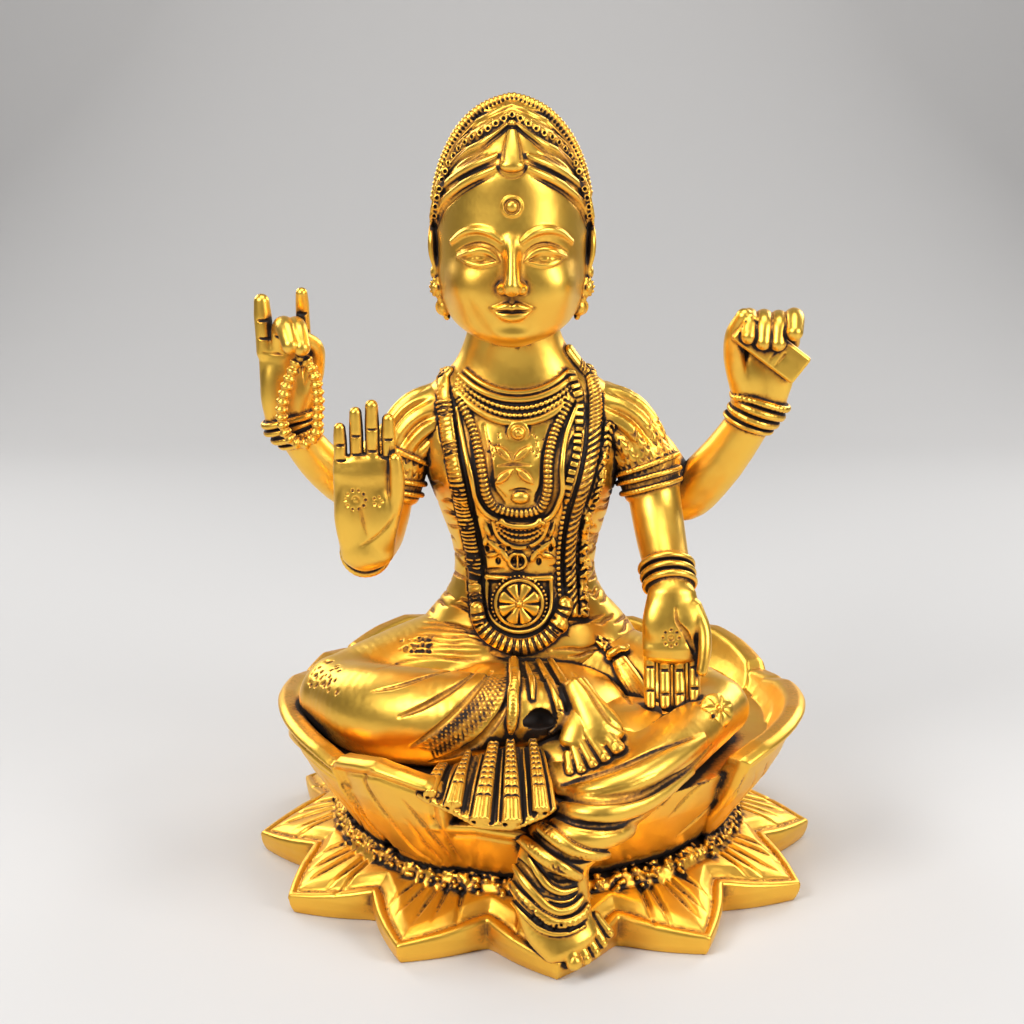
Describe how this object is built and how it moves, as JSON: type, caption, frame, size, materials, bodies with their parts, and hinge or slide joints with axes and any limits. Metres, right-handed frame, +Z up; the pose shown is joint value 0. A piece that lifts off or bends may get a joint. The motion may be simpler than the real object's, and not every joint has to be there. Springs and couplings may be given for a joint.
{
  "type": "seated goddess idol",
  "caption": "Cast brass idol of a crowned goddess with raised and lowered hands, one leg folded and one hanging, on a lotus cup over a ring of lotus petals.",
  "frame": {"origin": "on the table, at the middle of the flat underside of the lower lotus", "axes": "+Z up; the goddess faces -Y, and her left side is towards +X"},
  "size_m": [0.1578, 0.1578, 0.2093],
  "materials": {
    "figure_brass": "polished gilt brass with dark brown patina left in the carving",
    "lotus_brass": "brushed gilt brass petals with dark veins and burnished rims"
  },
  "bodies": {
    "root": {"figure": "figure_brass", "lotus_seat": "lotus_brass", "lotus_base": "lotus_brass"}
  },
  "joints": []
}
